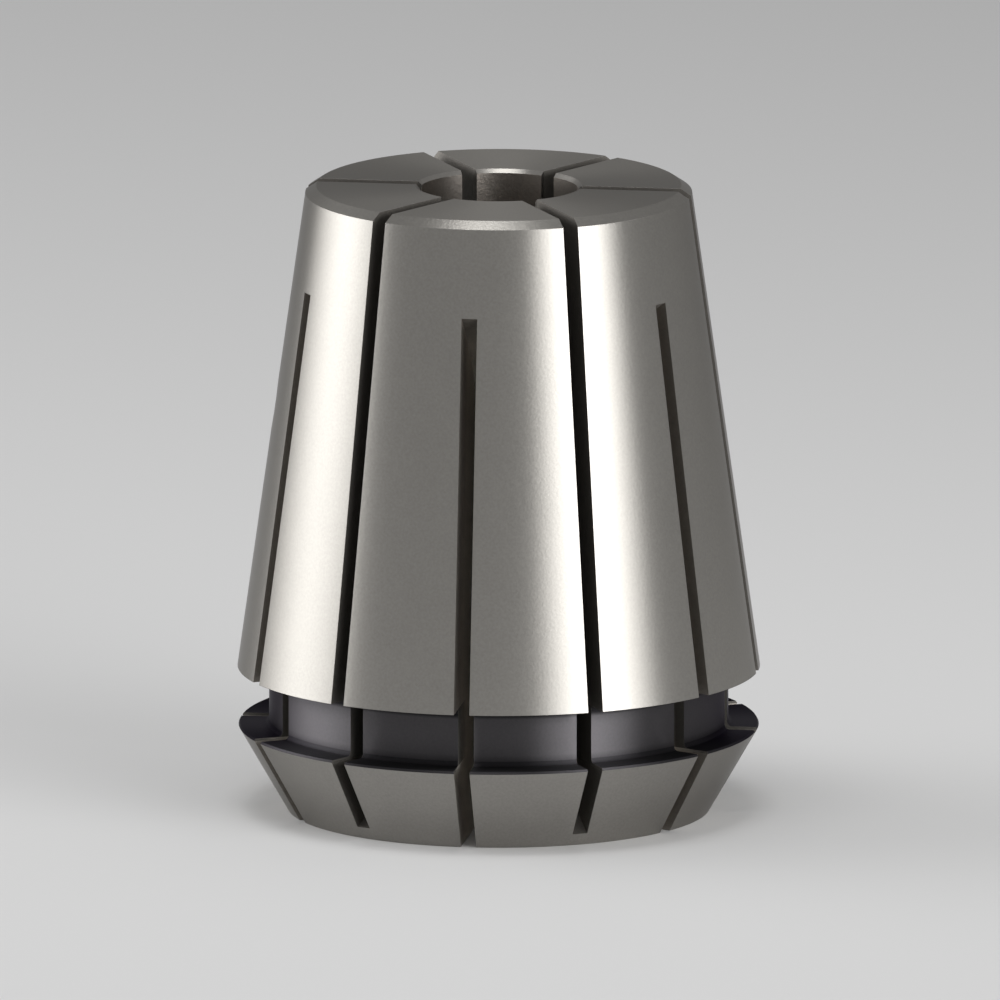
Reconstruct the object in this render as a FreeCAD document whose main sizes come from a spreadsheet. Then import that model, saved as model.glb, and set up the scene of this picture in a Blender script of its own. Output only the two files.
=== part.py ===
import FreeCAD, Part
import Sketcher
import math
import os

# Spring collet with an 8 degree taper, held in a tapered seat by a clamping nut.
#
# One turned piece of spring steel, bored through and split by twelve saw cuts. Six cuts are open at
# the front face and six at the rear face, and each stops short of the other end, so that the collet
# closes evenly on a shank when the nut presses it into its seat.
#
# Frame, in millimetres: Z is the collet's axis. The front face, where the nut presses and the shank
# enters, lies on z = 0 with its centre at the origin. The taper narrows towards +Z. +X lies midway
# between two neighbouring slots, one open at each end.

NODE = "collet_body"

# Driving dimensions, in millimetres, degrees and counts.
SIZES = {
    "overall_length": 40.0,
    "largest_diameter": 33.0,
    "taper_half_angle": 8.0,
    # The nut cone lies between the front face and the groove.
    "nut_cone_half_angle": 30.0,
    "nut_cone_length": 5.45,
    "rim_edge_break": 0.15,
    "groove_width": 3.65,
    "groove_diameter": 29.0,
    "groove_corner_radius": 0.3,
    # The bevel round the rear face, along the axis and across it.
    "rear_bevel_length": 0.46,
    "rear_bevel_depth": 0.7,
    "bore_diameter": 10.0,
    "bore_chamfer": 0.25,
    "slots_per_end": 6,
    "slot_width": 1.0,
    # What a slot leaves whole outside, between its blind end and the far face.
    "front_slot_land": 6.04,
    "rear_slot_land": 0.78,
    # The slitting saw, and how near its rim comes to the collet's axis.
    "saw_diameter": 50.0,
    "saw_rim_to_axis": 1.4,
    # How far a cutting outline runs past the surface that it cuts.
    "cutter_overrun": 1.0,
}

# Lengths and volumes closer than this count as equal.
TOLERANCE = 1e-4

AXIAL_PLANE = "XZ_Plane"
CROSS_PLANE = "XY_Plane"
COLLET_AXIS = "Z_Axis"
ORIGIN_POINT = (-1, 1)
START, END, CENTRE = 1, 2, 3


def size(name):
    """The expression that reads one driving dimension from the sheet."""
    return "Dimensions." + name


# Places that follow from the driving dimensions, as expressions of the sheet.
LENGTH = size("overall_length")
OUTER_RADIUS = f"({size('largest_diameter')} / 2)"
BORE_RADIUS = f"({size('bore_diameter')} / 2)"
GROOVE_RADIUS = f"({size('groove_diameter')} / 2)"
GROOVE_FRONT = size("nut_cone_length")
GROOVE_REAR = f"({GROOVE_FRONT} + {size('groove_width')})"
# What the rim's broken edge leaves of the groove's front wall.
GROOVE_WALL = f"({OUTER_RADIUS} - {GROOVE_RADIUS} - {size('rim_edge_break')})"
BEVEL_START = f"({LENGTH} - {size('rear_bevel_length')})"
CUTTER_RADIUS = f"({OUTER_RADIUS} + {size('cutter_overrun')})"
SAW_RADIUS = f"({size('saw_diameter')} / 2)"
SAW_CENTRE_RADIUS = f"({size('saw_rim_to_axis')} + {SAW_RADIUS})"
# The two rings of slots stand a quarter and three quarters of their pitch from +X.
FRONT_SLOT_TURN = f"(90 / {size('slots_per_end')})"
REAR_SLOT_TURN = f"(270 / {size('slots_per_end')})"


def cone_radius(height):
    """Radius of the nut cone at a height above the front face."""
    return f"({OUTER_RADIUS} - ({GROOVE_FRONT} - {height}) * tan({size('nut_cone_half_angle')}))"


def taper_radius(height):
    """Radius of the long taper at a height above the front face."""
    return f"({OUTER_RADIUS} - ({height} - {GROOVE_REAR}) * tan({size('taper_half_angle')}))"


def saw_reach(radius):
    """Length along the axis from the saw's centre to its rim, at one radius of the collet."""
    return f"sqrt({SAW_RADIUS} ^ 2 - ({SAW_CENTRE_RADIUS} - {radius}) ^ 2)"


def make_sheet(doc):
    """The spreadsheet that drives every sketch and feature."""
    sheet = doc.addObject("Spreadsheet::Sheet", "Dimensions")
    for row, (name, value) in enumerate(SIZES.items(), start=1):
        cell = f"A{row}"
        sheet.set(cell, str(value))
        sheet.setAlias(cell, name)
    doc.recompute()


def origin_feature(body, role):
    """One of the body's own origin planes or axes."""
    return next(feature for feature in body.Origin.OriginFeatures if feature.Role == role)


def new_sketch(body, name, plane):
    """An empty sketch on one of the body's own origin planes."""
    sketch = body.newObject("Sketcher::SketchObject", name)
    sketch.AttachmentSupport = [(origin_feature(body, plane), "")]
    sketch.MapMode = "FlatFace"
    return sketch


def drive(sketch, name, expression, kind, *elements):
    """Adds a named dimension that takes its value from the sheet."""
    value = sketch.evalExpression(expression)
    sketch.renameConstraint(sketch.addConstraint(Sketcher.Constraint(kind, *elements, value)), name)
    sketch.setExpression("Constraints." + name, expression)


def drive_point(sketch, name, element, end, across, along):
    """Ties one point of an element to its distances from the sketch's origin."""
    drive(sketch, name + "_across", across, "DistanceX", *ORIGIN_POINT, element, end)
    drive(sketch, name + "_along", along, "DistanceY", *ORIGIN_POINT, element, end)


def relate(sketch, kind, *elements):
    """Adds a constraint that has no value."""
    sketch.addConstraint(Sketcher.Constraint(kind, *elements))


def draw_polygon(sketch, corners):
    """A closed outline of straight sides through named corners, each driven by the sheet."""
    places = [FreeCAD.Vector(sketch.evalExpression(across), sketch.evalExpression(along))
              for across, along in corners.values()]
    for start, end in zip(places, places[1:] + places[:1]):
        sketch.addGeometry(Part.LineSegment(start, end))
    for side, (name, (across, along)) in enumerate(corners.items()):
        relate(sketch, "Coincident", (side - 1) % len(corners), END, side, START)
        drive_point(sketch, name, side, START, across, along)


def check_cut(feature, before):
    """Stops the build if a cutting feature took nothing away."""
    feature.Document.recompute()
    if feature.Shape.Volume > before.Shape.Volume - TOLERANCE:
        raise RuntimeError(feature.Name + " removes nothing")


def circular_edges(feature, radius, heights):
    """Names of the edges that are circles of one radius about the axis, at the given heights."""
    def fits(edge):
        curve = edge.Curve
        return (isinstance(curve, Part.Circle)
                and abs(curve.Radius - radius) < TOLERANCE
                and any(abs(curve.Center.z - height) < TOLERANCE for height in heights))

    return [f"Edge{number}" for number, edge in enumerate(feature.Shape.Edges, start=1) if fits(edge)]


def revolve(body, kind, name, profile):
    """A full turn of a profile about the collet's axis."""
    feature = body.newObject(kind, name)
    feature.Profile = profile
    feature.ReferenceAxis = (profile, ["V_Axis"])
    feature.Angle = 360
    body.Document.recompute()
    return feature


def turn_blank(body):
    """The turned blank: nut cone, the land that the groove is cut in, long taper and rear bevel."""
    profile = new_sketch(body, "blank_profile", AXIAL_PLANE)
    draw_polygon(profile, {
        "front_centre": ("0", "0"),
        "front_edge": (cone_radius("0"), "0"),
        "rim": (OUTER_RADIUS, GROOVE_FRONT),
        "taper_start": (OUTER_RADIUS, GROOVE_REAR),
        "bevel_start": (taper_radius(BEVEL_START), BEVEL_START),
        "rear_edge": (f"{taper_radius(BEVEL_START)} - {size('rear_bevel_depth')}", LENGTH),
        "rear_centre": ("0", LENGTH),
    })
    return revolve(body, "PartDesign::Revolution", "blank", profile)


def cut_nut_groove(body, blank):
    """The groove that the nut's extractor ring hooks into, with round inner corners."""
    profile = new_sketch(body, "groove_profile", AXIAL_PLANE)
    draw_polygon(profile, {
        "floor_front": (GROOVE_RADIUS, GROOVE_FRONT),
        "mouth_front": (CUTTER_RADIUS, GROOVE_FRONT),
        "mouth_rear": (CUTTER_RADIUS, GROOVE_REAR),
        "floor_rear": (GROOVE_RADIUS, GROOVE_REAR),
    })
    groove = revolve(body, "PartDesign::Groove", "nut_groove", profile)
    check_cut(groove, blank)

    front, rear = body.evalExpression(GROOVE_FRONT), body.evalExpression(GROOVE_REAR)
    corners = body.newObject("PartDesign::Fillet", "groove_corners")
    corners.Base = (groove, circular_edges(groove, body.evalExpression(GROOVE_RADIUS), [front, rear]))
    corners.setExpression("Radius", f"min({size('groove_corner_radius')}; {GROOVE_WALL} / 2)")
    body.Document.recompute()

    rim = body.newObject("PartDesign::Chamfer", "rim_edge")
    rim.Base = (corners, circular_edges(corners, body.evalExpression(OUTER_RADIUS), [front]))
    rim.setExpression("Size", size("rim_edge_break"))
    check_cut(rim, corners)
    return rim


def bore_through(body, turned):
    """The clamping bore, chamfered at both mouths."""
    circle = new_sketch(body, "bore_circle", CROSS_PLANE)
    radius = body.evalExpression(BORE_RADIUS)
    circle.addGeometry(Part.Circle(FreeCAD.Vector(), FreeCAD.Vector(0, 0, 1), radius))
    relate(circle, "Coincident", 0, CENTRE, *ORIGIN_POINT)
    drive(circle, "bore_radius", BORE_RADIUS, "Radius", 0)
    bore = body.newObject("PartDesign::Pocket", "clamp_bore")
    bore.Profile = circle
    bore.Type = "ThroughAll"
    bore.Reversed = True
    check_cut(bore, turned)

    mouths = body.newObject("PartDesign::Chamfer", "bore_mouths")
    mouths.Base = (bore, circular_edges(bore, radius, [0, body.evalExpression(LENGTH)]))
    mouths.setExpression("Size", size("bore_chamfer"))
    check_cut(mouths, bore)
    return mouths


def draw_saw_sweep(sketch, direction, mouth, end_radius, end_height):
    """The area that the slitting saw sweeps in the slot's own radial plane.

    The saw's rim runs inside the bore from the open mouth to where the saw stops. There its arc is
    the floor of the slot's blind end, which meets the outside of the collet at the given radius and
    height. The direction is 1 where the blind end lies towards +Z of the mouth and -1 where it lies
    towards -Z.
    """
    centre_height = f"({end_height} + ({-direction}) * {saw_reach(end_radius)})"
    radius = sketch.evalExpression(SAW_RADIUS)
    centre = FreeCAD.Vector(sketch.evalExpression(SAW_CENTRE_RADIUS), sketch.evalExpression(centre_height))
    mouth_height = sketch.evalExpression(mouth)
    outside = sketch.evalExpression(CUTTER_RADIUS)
    inside = centre.x - radius

    sweep = math.acos((centre.x - outside) / radius)
    angles = (math.pi - sweep, math.pi) if direction > 0 else (math.pi, math.pi + sweep)
    outer_end, inner_end = (START, END) if direction > 0 else (END, START)
    rim = Part.Circle(centre, FreeCAD.Vector(0, 0, 1), radius)
    floor = sketch.addGeometry(Part.ArcOfCircle(rim, *angles))
    floor_height = centre.y + direction * radius * math.sin(sweep)

    corners = [(inside, centre.y), (inside, mouth_height), (outside, mouth_height),
               (outside, floor_height)]
    points = [FreeCAD.Vector(*corner) for corner in corners]
    inner_side, mouth_side, outer_side = (
        sketch.addGeometry(Part.LineSegment(start, end)) for start, end in zip(points, points[1:]))

    relate(sketch, "Vertical", inner_side)
    relate(sketch, "Horizontal", mouth_side)
    relate(sketch, "Vertical", outer_side)
    relate(sketch, "Tangent", floor, inner_end, inner_side, START)
    relate(sketch, "Coincident", inner_side, END, mouth_side, START)
    relate(sketch, "Coincident", mouth_side, END, outer_side, START)
    relate(sketch, "Coincident", outer_side, END, floor, outer_end)
    drive(sketch, "saw_radius", SAW_RADIUS, "Radius", floor)
    drive_point(sketch, "saw_centre", floor, CENTRE, SAW_CENTRE_RADIUS, centre_height)
    drive_point(sketch, "mouth", outer_side, START, CUTTER_RADIUS, mouth)


def saw_slots(body, solid, name, turn, *sweep):
    """One ring of saw slots, the first of them turned about the axis by an angle."""
    profile = new_sketch(body, name + "_profile", AXIAL_PLANE)
    upright = FreeCAD.Rotation(FreeCAD.Vector(0, 1, 0), body.evalExpression(turn))
    profile.AttachmentOffset = FreeCAD.Placement(FreeCAD.Vector(), upright)
    profile.setExpression(".AttachmentOffset.Rotation.Angle", turn)
    draw_saw_sweep(profile, *sweep)

    slot = body.newObject("PartDesign::Pocket", name)
    slot.Profile = profile
    slot.Type = "Length"
    slot.SideType = "Symmetric"
    slot.setExpression("Length", size("slot_width"))
    check_cut(slot, solid)

    ring = body.newObject("PartDesign::PolarPattern", name + "_ring")
    ring.Originals = [slot]
    ring.Axis = (origin_feature(body, COLLET_AXIS), [""])
    ring.Angle = 360
    ring.setExpression("Occurrences", size("slots_per_end"))
    body.Tip = ring
    check_cut(ring, slot)
    return ring


def check_document(doc, body):
    """Stops the build if an object failed or the collet is not one sound solid."""
    for item in doc.Objects:
        if {"Invalid", "Error"} & set(item.State):
            raise RuntimeError(item.Name + " failed")
    if body.Shape.isNull() or not body.Shape.isValid() or len(body.Shape.Solids) != 1:
        raise RuntimeError(body.Label + " is not one sound solid")


def main():
    doc = FreeCAD.newDocument("collet")
    make_sheet(doc)
    body = doc.addObject("PartDesign::Body", NODE)
    body.Label = NODE

    blank = turn_blank(body)
    turned = cut_nut_groove(body, blank)
    bored = bore_through(body, turned)

    front_mouth = f"(0 - {size('cutter_overrun')})"
    front_end = f"({LENGTH} - {size('front_slot_land')})"
    front_slots = saw_slots(body, bored, "front_slot", FRONT_SLOT_TURN,
                            1, front_mouth, taper_radius(front_end), front_end)

    rear_mouth = f"({LENGTH} + {size('cutter_overrun')})"
    rear_end = size("rear_slot_land")
    saw_slots(body, front_slots, "rear_slot", REAR_SLOT_TURN,
              -1, rear_mouth, cone_radius(rear_end), rear_end)

    doc.recompute()
    check_document(doc, body)
    os.makedirs("parts", exist_ok=True)
    body.Shape.exportStep(os.path.join("parts", body.Label + ".step"))


main()
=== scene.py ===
import bpy
import math
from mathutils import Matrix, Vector


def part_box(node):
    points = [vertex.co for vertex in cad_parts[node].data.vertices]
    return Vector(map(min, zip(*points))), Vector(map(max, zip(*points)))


# A ground spring steel collet, standing on its front face on a pale floor in soft studio light.
#
# Everything is in metres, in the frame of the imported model: Z is the collet's axis and the front
# face lies on z = 0. The materials measure the surface in millimetres.

NODE = "collet_body"
MM = 0.001

# How the photograph sees the collet: no perspective, and the scale, direction and middle of the
# view as fitted to its outline. Pixels count from the upper left corner of the photograph.
PHOTO_SIDE_PX = 1000
PHOTO_PX_PER_MM = 15.835
PHOTO_CENTRE_PX = (498.8, 495.4)
CAMERA_AZIMUTH = -6.79
CAMERA_ELEVATION = 11.385
CAMERA_DISTANCE = 0.12
CAMERA_CLIPS = (0.001, 10)

# The collet's own surfaces, in millimetres and radians.
LENGTH = 40.0
OUTER_RADIUS = 16.5
TAPER_ANGLE = math.radians(8)
TAPER_SLOPE = math.tan(TAPER_ANGLE)
CONE_ANGLE = math.radians(30)
CONE_SLOPE = math.tan(CONE_ANGLE)
GROOVE_FRONT = 5.45
GROOVE_REAR = 9.1
GROOVE_MIDDLE = (GROOVE_FRONT + GROOVE_REAR) / 2
GROOVE_RADIUS = 14.5
RIM_BREAK = 0.15
RIM_EDGE = GROOVE_FRONT - RIM_BREAK
BEVEL_LENGTH = 0.46
BEVEL_DEPTH = 0.7
BEVEL_START = LENGTH - BEVEL_LENGTH
BEVEL_SLOPE = BEVEL_DEPTH / BEVEL_LENGTH
BORE_RADIUS = 5.0
BORE_CHAMFER = 0.25
SLOTS_PER_END = 6
SLOT_PITCH = math.pi / SLOTS_PER_END
FIRST_SLOT = math.radians(15)
SLOT_WIDTH = 1.0
SAW_RADIUS = 25.0
SAW_CENTRE_RADIUS = 26.4

# A flat facet's middle lies this far under the round surface that it stands for, at the most.
FACET_DEPTH = 0.08
# The limits of masks lie this far from the edges of the surfaces, on one side or the other.
EDGE = 0.01
# Normals of slot walls have a larger part than this round the axis, and turned surfaces a smaller.
SIDEWAYS_LIMIT = 0.3
# Parts along the axis that the normals of the groove's corners, and of its walls, go beyond.
CORNER_LIFT = 0.03
WALL_LIFT = 0.9
# The same part times the distance to the groove's middle goes beyond this at the blind ends.
BLIND_LIMIT = 0.05

# Colours of the finishes, with painted shade and painted light among them. The last four tint the
# sheen that a metal has at a low angle.
GROUND_STEEL = (0.36, 0.346, 0.323, 1.0)
# Painted shade: the cone, which faces down, is darker than the taper.
CONE_STEEL_PAINTED_SHADE = (0.315, 0.303, 0.284, 1.0)
REAMED_STEEL = (0.42, 0.385, 0.35, 1.0)
BLACK_OXIDE = (0.135, 0.129, 0.136, 1.0)
# Painted shade on the black finish: in the groove's front corner, on its fillet, on its front wall
# and under its rear wall.
CORNER_OXIDE_PAINTED_SHADE = (0.07, 0.067, 0.072, 1.0)
FILLET_OXIDE_PAINTED_SHADE = (0.048, 0.046, 0.05, 1.0)
CORNER_PAINTED_SHADE = (0.032, 0.031, 0.033, 1.0)
FRONT_SAWN_STEEL = (0.34, 0.315, 0.285, 1.0)
# Painted light on the walls deep in the slots that open in front.
DEEP_SAWN_PAINTED_LIGHT = (0.85, 0.80, 0.73, 1.0)
# Painted shade on the walls of the slots that open at the rear.
REAR_SAWN_PAINTED_SHADE = (0.25, 0.235, 0.215, 1.0)
# The slot walls are darker beside the groove.
GROOVE_BAND_SAWN_STEEL = (0.15, 0.142, 0.13, 1.0)
GROUND_EDGE = (0.62, 0.615, 0.61, 1.0)
FACED_EDGE = (0.50, 0.495, 0.49, 1.0)
OXIDE_EDGE = (0.4, 0.39, 0.42, 1.0)
SAWN_EDGE = (1.0, 1.0, 1.0, 1.0)

# Distances from the groove's front and rear walls over which painted shade darkens its black
# finish.
FRONT_SHADE = (0.7, 0.15)
REAR_SHADE = (0.65, 0.4)
# Depths over which painted light makes the walls of the slots that open in front lighter.
PAINTED_LIGHT_DEPTHS = (0.6, 3.5)

# Heights of the fine relief, in millimetres. The bore and the bevel add theirs to the grain.
GRAIN = 0.0036
BORE_GRAIN = 0.0084
BEVEL_GRAIN = 0.0055
RINGS = 0.0006
SAW_MARKS = 0.012

# Share of the colour that stays everywhere, and shares that vary over the surface.
EVEN_TONE = 0.84
BLOTCH_TONE = 0.06
SPECKLE_TONE = 0.26

# How many waves the patterns of relief and colour have to the millimetre.
GRAIN_WAVES = 5.5
RING_WAVES = 9.0
SAW_MARK_WAVES = 5.0
BLOTCH_WAVES = 0.35
SPECKLE_WAVES = 6.0

# Roughness of the ground steel, and what the other finishes add to it.
ROUGHNESS = 0.32
GROOVE_ROUGHNESS = 0.14
SAWN_ROUGHNESS = 0.2
FACED_ROUGHNESS = 0.06
SPECKLE_ROUGHNESS = 0.06

# How far the turned finish stretches highlights along the axis, and what the groove adds to it.
STRETCH = 0.7
GROOVE_STRETCH = 0.3
QUARTER_TURN = 0.25

FLOOR_GAP = 0.02 * MM
FLOOR_SIDE = 6.0
FLOOR_COLOUR = (0.75, 0.75, 0.75)
WORLD_COLOUR = (0.375, 0.375, 0.375)

# Softboxes: azimuth and elevation seen from the collet, distance, width, height, spread and power,
# in degrees, metres and watts.
# Their spread fades them towards their edges, as a fabric grid does.
SOFTBOXES = {
    "right_softbox": (39.6, 12.0, 0.35, 0.36, 0.19, 60.0, 0.19),
    "left_softbox": (-109.5, 12.0, 0.45, 0.56, 0.24, 77.0, 0.39),
    "top_softbox": (-40.0, 82.0, 0.45, 0.20, 0.20, 80.0, 0.100),
}


class Field:
    """A value that varies over a surface. Sums, products and powers of fields make math nodes."""

    def __init__(self, graph, socket):
        self.graph = graph
        self.socket = socket

    def __add__(self, other):
        return self.graph.math("ADD", self, other)

    def __radd__(self, other):
        return self.graph.math("ADD", other, self)

    def __sub__(self, other):
        return self.graph.math("SUBTRACT", self, other)

    def __rsub__(self, other):
        return self.graph.math("SUBTRACT", other, self)

    def __mul__(self, other):
        return self.graph.math("MULTIPLY", self, other)

    def __rmul__(self, other):
        return self.graph.math("MULTIPLY", other, self)

    def __truediv__(self, other):
        return self.graph.math("DIVIDE", self, other)

    def __pow__(self, other):
        return self.graph.math("POWER", self, other)

    def above(self, limit):
        return self.graph.math("GREATER_THAN", self, limit)

    def below(self, limit):
        return self.graph.math("LESS_THAN", self, limit)

    def between(self, low, high):
        """1 between the two limits and 0 past them."""
        return self.above(low) * self.below(high)

    def ramp(self, start, end):
        """0 at the start, 1 at the end, and a straight line between them."""
        made = self.graph.node("MapRange", {"Value": self, "From Min": start, "From Max": end})
        return Field(self.graph, made.outputs["Result"])


class Graph:
    """Short calls that build one material's node tree."""

    def __init__(self, name):
        self.material = bpy.data.materials.new(name)
        self.material.use_nodes = True
        self.tree = self.material.node_tree
        self.tree.nodes.clear()

    def node(self, kind, inputs=None, **settings):
        """A new node, with its settings made and its inputs set or linked."""
        made = self.tree.nodes.new("ShaderNode" + kind)
        for name, value in settings.items():
            setattr(made, name, value)
        for name, value in (inputs or {}).items():
            self.feed(made.inputs[name], value)
        return made

    def feed(self, socket, value):
        """Links a field or an output socket to an input, or sets the input to a plain value."""
        if isinstance(value, Field):
            value = value.socket
        if isinstance(value, bpy.types.NodeSocket):
            self.tree.links.new(value, socket)
        else:
            socket.default_value = value

    def math(self, operation, *values):
        made = self.node("Math", operation=operation)
        for socket, value in zip(made.inputs, values):
            self.feed(socket, value)
        return Field(self, made.outputs[0])

    def scale(self, vector, factor):
        """A vector or colour times a number."""
        made = self.node("VectorMath", {"Scale": factor}, operation="SCALE")
        self.feed(made.inputs[0], vector)
        return made.outputs[0]

    def split(self, vector):
        """The three parts of a vector, as fields."""
        parts = self.node("SeparateXYZ", {"Vector": vector})
        return [Field(self, socket) for socket in parts.outputs]

    def join(self, *parts):
        """A vector of three parts."""
        made = self.node("CombineXYZ")
        for socket, part in zip(made.inputs, parts):
            self.feed(socket, part)
        return made.outputs[0]

    def mix(self, share, first, second):
        """A colour between two others."""
        made = self.node("Mix", data_type="RGBA")
        self.feed(made.inputs["Factor"], share)
        self.feed(made.inputs[6], first)
        self.feed(made.inputs[7], second)
        return made.outputs[2]

    def blend(self, share, first, second):
        """A number between two others."""
        return share * (second - first) + first

    def noise(self, place, scale, detail):
        made = self.node("TexNoise", {"Vector": place, "Scale": scale, "Detail": detail})
        return Field(self, made.outputs["Fac"])

    def shade(self, inputs):
        """The one shader of the material, with its inputs."""
        shader = self.node("BsdfPrincipled", inputs)
        self.node("OutputMaterial", {"Surface": shader.outputs[0]})


class Spot:
    """Where a point of the steel lies on the collet: fields in millimetres, and masks of 0 or 1."""

    def __init__(self, graph):
        coordinates = graph.node("TexCoord").outputs["Object"]
        self.place = graph.scale(coordinates, 1 / MM)
        self.across, self.along, self.height = graph.split(self.place)
        self.radius = (self.across * self.across + self.along * self.along) ** 0.5
        self.angle = graph.math("ARCTAN2", self.along, self.across)
        normal = graph.node("NewGeometry").outputs["True Normal"]
        self.facet_across, self.facet_along, self.facet_up = graph.split(normal)
        outward = self.facet_across * self.across + self.facet_along * self.along
        self.outward = outward / self.radius
        sideways = self.facet_along * self.across - self.facet_across * self.along
        self.turned = graph.math("ABSOLUTE", sideways / self.radius).below(SIDEWAYS_LIMIT)

        # Depth under the outside, which is the least of the cone, the taper and the bevel.
        cone = OUTER_RADIUS - (GROOVE_FRONT - self.height) * CONE_SLOPE
        taper = OUTER_RADIUS - (self.height - GROOVE_REAR) * TAPER_SLOPE
        bevel_radius = OUTER_RADIUS - (BEVEL_START - GROOVE_REAR) * TAPER_SLOPE
        bevel = bevel_radius - (self.height - BEVEL_START) * BEVEL_SLOPE
        outside = graph.math("MINIMUM", graph.math("MINIMUM", cone, taper), bevel)
        between_walls = self.height.between(GROOVE_FRONT - EDGE, GROOVE_REAR + EDGE)
        outside = graph.blend(between_walls, outside, GROOVE_RADIUS)
        self.depth = outside - self.radius
        # The blind ends of the slots lean the other way than the cone or the taper round them.
        blind = (self.facet_up * (GROOVE_MIDDLE - self.height)).above(BLIND_LIMIT)
        skin = self.depth.below(FACET_DEPTH) * self.turned * (1.0 - blind)

        self.on_cone = skin * self.height.below(RIM_EDGE)
        self.on_taper = skin * self.height.between(GROOVE_REAR + EDGE, BEVEL_START - EDGE)
        self.on_bevel = skin * self.height.between(BEVEL_START - EDGE, LENGTH - EDGE)
        self.in_groove = self.height.between(RIM_EDGE, GROOVE_REAR + EDGE)
        tilted = graph.math("ABSOLUTE", self.facet_up).above(CORNER_LIFT)
        self.in_fillet = self.height.between(GROOVE_FRONT + EDGE, GROOVE_REAR - EDGE) * tilted
        self.on_rear = self.height.above(LENGTH - EDGE)
        self.in_bore = self.radius.below(BORE_RADIUS + EDGE)

        # The slot walls face round the collet, and the blind ends lie between them.
        turn = graph.math("PINGPONG", self.angle - FIRST_SLOT, SLOT_PITCH / 2)
        from_slot = self.radius * graph.math("SINE", turn)
        inside = (1.0 - skin) * self.height.between(EDGE, LENGTH - EDGE)
        inside = inside * self.radius.above(BORE_RADIUS + BORE_CHAMFER + EDGE)
        self.in_slot = inside * from_slot.below(SLOT_WIDTH / 2 + EDGE)
        # 1 at the slots that open in front, -1 at those that open at the rear.
        wave = graph.math("COSINE", (self.angle - FIRST_SLOT) * SLOTS_PER_END)
        self.opening = graph.math("SIGN", wave)


def round_normal(graph, spot):
    """The normal of the turned steel. It stands in for the flat facets, slot walls apart."""
    upward = graph.blend(spot.on_taper, spot.facet_up, math.sin(TAPER_ANGLE))
    upward = graph.blend(spot.on_cone, upward, -math.sin(CONE_ANGLE))
    upward = upward * (1.0 - spot.in_bore)
    level = (1.0 - upward * upward) ** 0.5 * graph.math("SIGN", spot.outward) / spot.radius
    return graph.join(
        graph.blend(spot.turned, spot.facet_across, level * spot.across),
        graph.blend(spot.turned, spot.facet_along, level * spot.along),
        graph.blend(spot.turned, spot.facet_up, upward))


def steel_relief(graph, spot):
    """Height of the fine relief in millimetres: grain, turned rings and marks of the saw."""
    grain = graph.noise(spot.place, GRAIN_WAVES, detail=3.0)
    grain = grain * (GRAIN + spot.in_bore * BORE_GRAIN + spot.on_bevel * BEVEL_GRAIN)
    turned = graph.join(spot.radius * RING_WAVES, spot.height * RING_WAVES, 0.0)
    rings = graph.noise(turned, 1.0, detail=4.0)
    from_saw = SAW_CENTRE_RADIUS - spot.radius
    reach = (SAW_RADIUS * SAW_RADIUS - from_saw * from_saw) ** 0.5
    sweep = spot.height - spot.opening * reach
    saw_marks = graph.noise(graph.join(sweep * SAW_MARK_WAVES, 0.0, 0.0), 1.0, detail=3.0)
    return grain + rings * RINGS + saw_marks * spot.in_slot * SAW_MARKS


def groove_colour(graph, spot):
    """The black finish of the groove, with painted shade in its front corner, on its fillet, on its
    front wall and under its rear wall.
    """
    start, end = FRONT_SHADE
    front_corner = spot.height.ramp(GROOVE_FRONT + start, GROOVE_FRONT + end)
    start, end = REAR_SHADE
    rear_corner = spot.height.ramp(GROOVE_REAR - start, GROOVE_REAR - end)
    front_wall = spot.facet_up.above(WALL_LIFT)
    colour = graph.mix(front_corner, BLACK_OXIDE, CORNER_OXIDE_PAINTED_SHADE)
    colour = graph.mix(spot.in_fillet, colour, FILLET_OXIDE_PAINTED_SHADE)
    return graph.mix(graph.math("MAXIMUM", rear_corner, front_wall), colour, CORNER_PAINTED_SHADE)


def slot_colour(graph, spot):
    """The sawn walls: darker beside the groove, with painted shade in the slots open at the rear,
    and painted light deep in the slots open in front.
    """
    front_open = graph.math("MAXIMUM", spot.opening, 0.0)
    colour = graph.mix(front_open, REAR_SAWN_PAINTED_SHADE, FRONT_SAWN_STEEL)
    colour = graph.mix(spot.in_groove, colour, GROOVE_BAND_SAWN_STEEL)
    return graph.mix(spot.depth.ramp(*PAINTED_LIGHT_DEPTHS) * front_open, colour, DEEP_SAWN_PAINTED_LIGHT)


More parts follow.
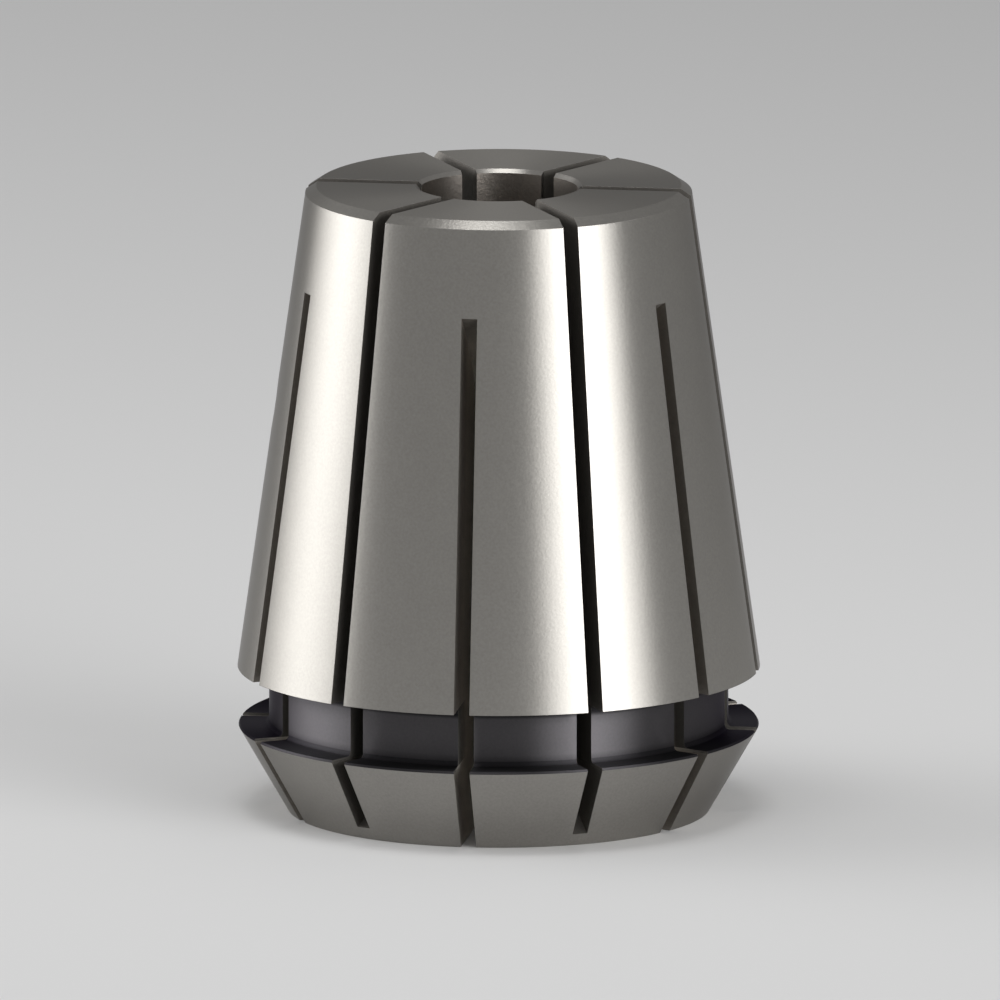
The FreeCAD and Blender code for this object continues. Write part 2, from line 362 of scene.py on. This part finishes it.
def collet_steel():
    """Ground spring steel, with a black finish in the groove and dull sawn walls in the slots."""
    graph = Graph("ground_steel")
    spot = Spot(graph)
    bump = graph.node("Bump", {"Strength": 1.0, "Distance": MM, "Height": steel_relief(graph, spot),
                               "Normal": round_normal(graph, spot)})

    blotches = graph.noise(spot.place, BLOTCH_WAVES, detail=3.0)
    speckle = graph.noise(spot.place, SPECKLE_WAVES, detail=2.0)
    colour = graph.mix(spot.on_cone, GROUND_STEEL, CONE_STEEL_PAINTED_SHADE)
    colour = graph.mix(spot.in_bore, colour, REAMED_STEEL)
    colour = graph.mix(spot.in_groove, colour, groove_colour(graph, spot))
    colour = graph.mix(spot.in_slot, colour, slot_colour(graph, spot))
    tone = EVEN_TONE + blotches * BLOTCH_TONE + speckle * SPECKLE_TONE
    edge = graph.mix(spot.on_rear, GROUND_EDGE, FACED_EDGE)
    edge = graph.mix(spot.in_groove, edge, OXIDE_EDGE)
    edge = graph.mix(spot.in_slot, edge, SAWN_EDGE)
    roughness = ROUGHNESS + spot.in_groove * GROOVE_ROUGHNESS + spot.in_slot * SAWN_ROUGHNESS
    roughness = roughness + spot.on_rear * FACED_ROUGHNESS + (speckle - 0.5) * SPECKLE_ROUGHNESS
    stretched = (1.0 - spot.in_slot) * (1.0 - spot.in_bore)

    graph.shade({
        "Base Color": graph.scale(colour, tone),
        "Metallic": 1.0,
        "Roughness": roughness,
        "Specular Tint": edge,
        "Anisotropic": stretched * (STRETCH + spot.in_groove * GROOVE_STRETCH),
        "Anisotropic Rotation": QUARTER_TURN,
        "Tangent": graph.node("Tangent", direction_type="RADIAL", axis="Z").outputs[0],
        "Normal": bump.outputs["Normal"],
    })
    return graph.material


def plain_material(name, colour, roughness):
    graph = Graph(name)
    graph.shade({"Base Color": (*colour, 1.0), "Roughness": roughness, "Specular IOR Level": 0.0})
    return graph.material


def direction(azimuth, elevation):
    """The unit vector that points from the collet to a place seen in that direction."""
    turn = math.radians(azimuth)
    lift = math.radians(elevation)
    level = math.cos(lift)
    return Vector((math.sin(turn) * level, -math.cos(turn) * level, math.sin(lift)))


def add_object(name, data):
    made = bpy.data.objects.new(name, data)
    bpy.context.scene.collection.objects.link(made)
    return made


def make_camera(target):
    data = bpy.data.cameras.new("camera")
    data.type = "ORTHO"
    data.ortho_scale = PHOTO_SIDE_PX / PHOTO_PX_PER_MM * MM
    data.clip_start, data.clip_end = CAMERA_CLIPS
    camera = add_object("camera", data)
    back = direction(CAMERA_AZIMUTH, CAMERA_ELEVATION)
    turn = (-back).to_track_quat("-Z", "Y")
    right = turn @ Vector((1, 0, 0))
    up = turn @ Vector((0, 1, 0))
    middle = PHOTO_SIDE_PX / 2
    aside = (middle - PHOTO_CENTRE_PX[0]) / PHOTO_PX_PER_MM * MM
    upward = (PHOTO_CENTRE_PX[1] - middle) / PHOTO_PX_PER_MM * MM
    camera.rotation_mode = "QUATERNION"
    camera.rotation_quaternion = turn
    camera.location = target + back * CAMERA_DISTANCE + right * aside + up * upward
    bpy.context.scene.camera = camera


def make_floor():
    half = FLOOR_SIDE / 2
    mesh = bpy.data.meshes.new("floor")
    outline = [(-half, -half), (half, -half), (half, half), (-half, half)]
    mesh.from_pydata([(x, y, -FLOOR_GAP) for x, y in outline], [], [(0, 1, 2, 3)])
    mesh.materials.append(plain_material("floor_paper", FLOOR_COLOUR, 1.0))
    floor = add_object("floor", mesh)


def make_softbox(name, target, azimuth, elevation, distance, width, height, spread, power):
    data = bpy.data.lights.new(name, "AREA")
    data.shape = "RECTANGLE"
    data.size = width
    data.size_y = height
    data.spread = math.radians(spread)
    data.energy = power
    away = direction(azimuth, elevation)
    light = add_object(name, data)
    light.location = target + away * distance
    light.rotation_mode = "QUATERNION"
    light.rotation_quaternion = away.to_track_quat("Z", "Y")
    light.visible_camera = False


def make_world():
    world = bpy.data.worlds.new("studio")
    world.use_nodes = True
    background = world.node_tree.nodes["Background"]
    background.inputs["Color"].default_value = (*WORLD_COLOUR, 1.0)
    background.inputs["Strength"].default_value = 1.0
    bpy.context.scene.world = world


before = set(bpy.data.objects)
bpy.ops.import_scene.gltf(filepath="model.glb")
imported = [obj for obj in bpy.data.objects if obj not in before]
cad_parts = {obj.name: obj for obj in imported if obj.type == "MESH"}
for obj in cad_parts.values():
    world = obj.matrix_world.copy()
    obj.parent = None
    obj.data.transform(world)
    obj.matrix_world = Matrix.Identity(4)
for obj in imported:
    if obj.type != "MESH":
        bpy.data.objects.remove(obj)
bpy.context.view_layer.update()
lowest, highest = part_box(NODE)
centre = (lowest + highest) / 2

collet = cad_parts[NODE]
collet.material_slots[0].material = collet_steel()

make_camera(centre)
make_floor()
for name, settings in SOFTBOXES.items():
    make_softbox(name, centre, *settings)
make_world()
bpy.context.scene.view_settings.view_transform = "Standard"
